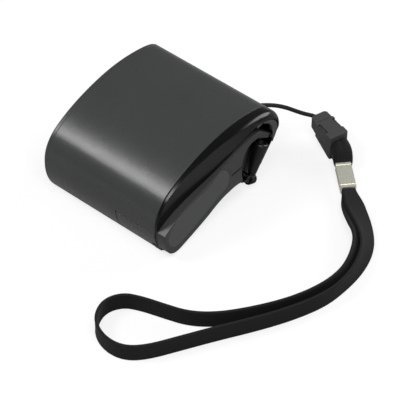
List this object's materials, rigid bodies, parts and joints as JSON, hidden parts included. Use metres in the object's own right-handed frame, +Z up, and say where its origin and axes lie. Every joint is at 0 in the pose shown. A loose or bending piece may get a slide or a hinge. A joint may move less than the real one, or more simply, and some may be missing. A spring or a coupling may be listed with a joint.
{
  "type": "hand crank phone charger",
  "caption": "Wedge-shaped hand crank phone charger: side crank with folding knob, generator and gear train inside, charging socket behind a flap, wrist strap on a quick-release buckle.",
  "frame": {"origin": "centre of the footprint of the case and crank, on the surface the case stands on", "axes": "+X from the closed end of the case towards the crank side, +Y from the socket end to the nose where the string leaves, +Z up"},
  "size_m": [0.108, 0.1263, 0.0323],
  "materials": {
    "shell_plastic": "satin dark grey, smooth",
    "arm_plastic": "satin dark grey",
    "black_gloss": "glossy black",
    "black_matte": "matt black",
    "steel": "bright steel",
    "screw_steel": "zinc-plated steel",
    "brass": "sintered bronze",
    "gear_plastic": "natural acetal",
    "copper": "enamelled copper wire",
    "magnet": "dark ferrite",
    "board": "green solder resist",
    "chip": "matt black epoxy",
    "socket_metal": "plated steel",
    "lead_red": "red lead jacket",
    "string": "braided black string",
    "webbing": "woven black webbing",
    "crimp_metal": "nickel-plated, slightly warm"
  },
  "bodies": {
    "housing": {"anchor_pin": "steel", "axle_bush": "brass", "board_screws": "screw_steel", "buckle_plug": "black_matte", "buckle_socket": "black_matte", "cap_screws": "screw_steel", "capacitor": "chip", "case_screws": "screw_steel", "circuit_board": "board", "cover_hinge_pin": "steel", "end_cap": "shell_plastic", "gear_pins": "steel", "gear_plate": "steel", "gearbox_screws": "screw_steel", "generator_back": "steel", "generator_can": "steel", "generator_leads": "lead_red", "generator_screws": "screw_steel", "inductor": "chip", "main_shell": "shell_plastic", "rectifier_diodes": "chip", "regulator_chip": "chip", "rotor_bushes": "brass", "side_cover": "black_matte", "socket_contacts": "brass", "socket_shell": "socket_metal", "socket_tongue": "black_matte", "stator_coil": "copper", "stator_core": "magnet", "strap_crimp": "crimp_metal", "string_cord": "string", "webbing_loop": "webbing", "wrist_strap": "webbing"},
    "crank": {"crank_arm": "black_gloss", "arm_plate": "arm_plastic", "arm_inlay": "arm_plastic", "nose_rim": "arm_plastic", "crank_axle": "steel", "crank_screw": "screw_steel", "drive_gear": "gear_plastic", "knob_hinge_pin": "steel"},
    "idler_one": {"idler_gear_one": "gear_plastic"},
    "idler_two": {"idler_gear_two": "gear_plastic"},
    "rotor": {"rotor_shaft": "steel", "rotor_magnet": "magnet", "rotor_pinion": "gear_plastic"},
    "knob_carrier": {"knob_carrier": "black_matte", "knob_cap": "screw_steel"},
    "knob": {"knob_grip": "black_matte"},
    "socket_flap": {"socket_cover": "shell_plastic"}
  },
  "joints": [
    {"name": "crank_spin", "type": "hinge", "parent": "housing", "child": "crank", "pos_m": [0.02205, -0.008, 0.0166], "axis": [1, 0, 0], "continuous": true},
    {"name": "idler_one_spin", "type": "hinge", "parent": "housing", "child": "idler_one", "pos_m": [0.0154, -0.00045, 0.02316], "axis": [1, 0, 0], "continuous": true},
    {"name": "idler_two_spin", "type": "hinge", "parent": "housing", "child": "idler_two", "pos_m": [0.0139, 0.00705, 0.01917], "axis": [1, 0, 0], "continuous": true},
    {"name": "rotor_spin", "type": "hinge", "parent": "housing", "child": "rotor", "pos_m": [0.005, 0.01655, 0.01927], "axis": [1, 0, 0], "continuous": true},
    {"name": "knob_fold", "type": "hinge", "parent": "crank", "child": "knob_carrier", "pos_m": [0.02515, 0.0155, 0.0042], "axis": [0, 0.9078, -0.4195], "range_deg": [0, 90]},
    {"name": "knob_spin", "type": "hinge", "parent": "knob_carrier", "child": "knob", "pos_m": [0.02515, 0.0155, 0.0042], "axis": [0, 0.4195, 0.9078], "continuous": true},
    {"name": "flap_hinge", "type": "hinge", "parent": "housing", "child": "socket_flap", "pos_m": [0.01325, -0.0262, 0.0022], "axis": [1, 0, 0], "range_deg": [0, 75]}
  ],
  "couplings": [
    {"joint": "idler_one_spin", "follows": "crank_spin", "ratio": -3},
    {"joint": "idler_two_spin", "follows": "crank_spin", "ratio": 7.2},
    {"joint": "rotor_spin", "follows": "crank_spin", "ratio": -20.16}
  ]
}
